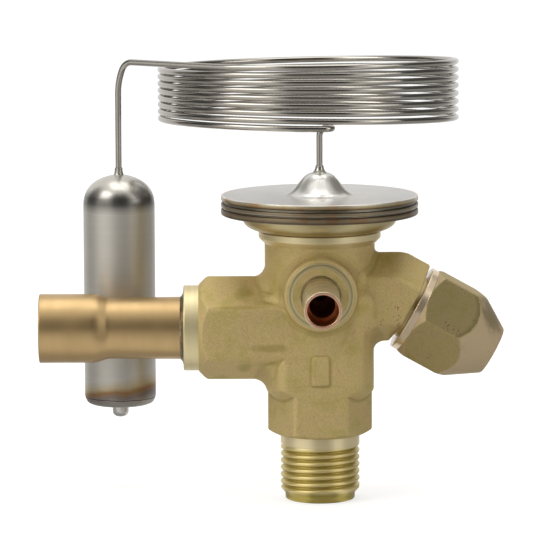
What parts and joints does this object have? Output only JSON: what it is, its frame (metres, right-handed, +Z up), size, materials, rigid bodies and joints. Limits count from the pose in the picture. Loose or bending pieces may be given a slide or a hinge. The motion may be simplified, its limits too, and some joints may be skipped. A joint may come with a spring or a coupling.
{
  "type": "refrigerant expansion valve",
  "caption": "Forged brass expansion valve with flare inlet, solder outlet, equalizer stub, capped setting branch, and a bulb on a coiled capillary.",
  "frame": {"origin": "centre of the inlet stub's end face", "axes": "+Z up the valve's axis from the inlet to the power element, -X along the outlet, -Y along the equalizer stub, +X on the capped setting branch's side"},
  "size_m": [0.0931, 0.0901, 0.0879],
  "materials": {
    "forged_brass": "sandblasted forging with machined ends",
    "cap_brass": "forged hexagon faces, turned cone",
    "copper_tube": "drawn copper with a golden stain",
    "solder": "silver solder fillet",
    "stainless": "bright pressed stainless",
    "tinted_stainless": "welded rim with straw tint",
    "capillary_steel": "drawn bright capillary",
    "bulb_steel": "ground, with a heat tint low down",
    "turned_brass": "turned",
    "spring_steel": "drawn wire",
    "inner_steel": "turned",
    "seal_rubber": "moulded",
    "gasket_copper": "annealed washer"
  },
  "bodies": {
    "valve": {"valve_body": "forged_brass", "outlet_tube": "copper_tube", "outlet_solder_ring": "solder", "equalizer_tube": "copper_tube", "equalizer_solder_ring": "solder", "capsule_lower_dish": "stainless", "diaphragm": "tinted_stainless", "capsule_spacer_ring": "tinted_stainless", "capsule_cover": "stainless", "head_solder_cone": "solder", "rod_seal": "seal_rubber", "rod_seal_retainer": "turned_brass", "superheat_spring": "spring_steel", "spindle_gland_nut": "turned_brass", "spindle_seal": "seal_rubber", "orifice_cartridge": "turned_brass", "cartridge_seal": "seal_rubber", "cone_spring": "spring_steel", "cone_retainer": "turned_brass", "strainer_rim": "turned_brass", "strainer": "inner_steel", "capillary_tube": "capillary_steel", "bulb_shell": "bulb_steel", "bulb_end_cap": "bulb_steel", "bulb_solder_cone": "solder", "charging_stub": "bulb_steel"},
    "valve_train": {"thrust_pad": "inner_steel", "push_rod": "inner_steel", "valve_cone": "inner_steel"},
    "spring_carrier": {"spring_seat": "turned_brass"},
    "fork": {"setting_fork": "turned_brass"},
    "spindle": {"adjusting_spindle": "inner_steel"},
    "gasket": {"cap_gasket": "gasket_copper"},
    "cap": {"seal_cap": "cap_brass"}
  },
  "joints": [
    {"name": "valve_lift", "type": "slide", "parent": "valve", "child": "valve_train", "axis": [0, 0, -1], "range_m": [0, 0.0006], "stiffness_N_per_m": 2000, "springref_m": -0.004, "deforming": ["superheat_spring", "cone_spring"]},
    {"name": "spindle_turn", "type": "hinge", "parent": "valve", "child": "spindle", "pos_m": [0, 0, 0.0489], "axis": [0.8746, 0, -0.4848], "range_deg": [-722, 722]},
    {"name": "fork_travel", "type": "slide", "parent": "valve", "child": "fork", "axis": [0.8746, 0, -0.4848], "range_m": [-0.002, 0.002]},
    {"name": "seat_travel", "type": "slide", "parent": "valve", "child": "spring_carrier", "axis": [0, 0, 1], "range_m": [-0.00098, 0.00098]},
    {"name": "gasket_travel", "type": "slide", "parent": "valve", "child": "gasket", "axis": [0.8746, 0, -0.4848], "range_m": [0, 0.00751]},
    {"name": "cap_turn", "type": "hinge", "parent": "gasket", "child": "cap", "pos_m": [0, 0, 0.0489], "axis": [0.8746, 0, -0.4848], "range_deg": [0, 1800]}
  ],
  "couplings": [
    {"joint": "spindle_turn", "follows": "fork_travel", "rad_per_m": 6283.2},
    {"joint": "seat_travel", "follows": "fork_travel", "ratio": -0.48481},
    {"joint": "gasket_travel", "follows": "cap_turn", "m_per_rad": 0.00023873}
  ]
}
